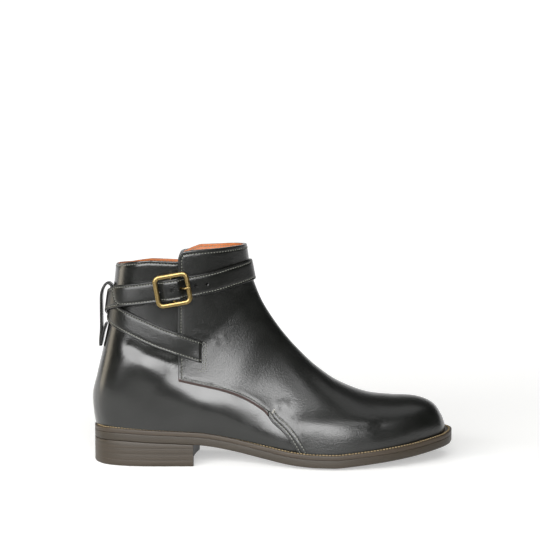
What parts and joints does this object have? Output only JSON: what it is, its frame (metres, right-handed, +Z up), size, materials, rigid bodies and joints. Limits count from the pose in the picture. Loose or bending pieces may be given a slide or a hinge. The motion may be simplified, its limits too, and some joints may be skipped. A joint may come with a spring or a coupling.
{
  "type": "jodhpur boot",
  "caption": "Low black leather ankle boot with crossing side-buckled straps, a tabbed vamp, a back pull loop, a leather sole and a stacked block heel.",
  "frame": {"origin": "on the floor, under the middle of the whole boot", "axes": "+X to the toe, -Y to the outer side with the buckle, +Z up"},
  "size_m": [0.3114, 0.104, 0.186],
  "materials": {
    "calf_leather": "black smooth calf, semi-gloss",
    "sole_leather": "taupe brown sole leather with a waxed edge",
    "welt_leather": "dark brown, stitched",
    "insole_leather": "natural tan, matt",
    "brass": "satin"
  },
  "bodies": {
    "root": {"upper": "calf_leather", "vamp": "calf_leather", "long_strap": "calf_leather", "short_strap": "calf_leather", "pull_loop": "calf_leather", "outsole": "sole_leather", "heel_top_piece": "sole_leather", "heel_lift_1": "sole_leather", "heel_lift_2": "sole_leather", "heel_lift_3": "sole_leather", "welt": "welt_leather", "insole": "insole_leather", "buckle": "brass", "prong": "brass"}
  },
  "joints": []
}
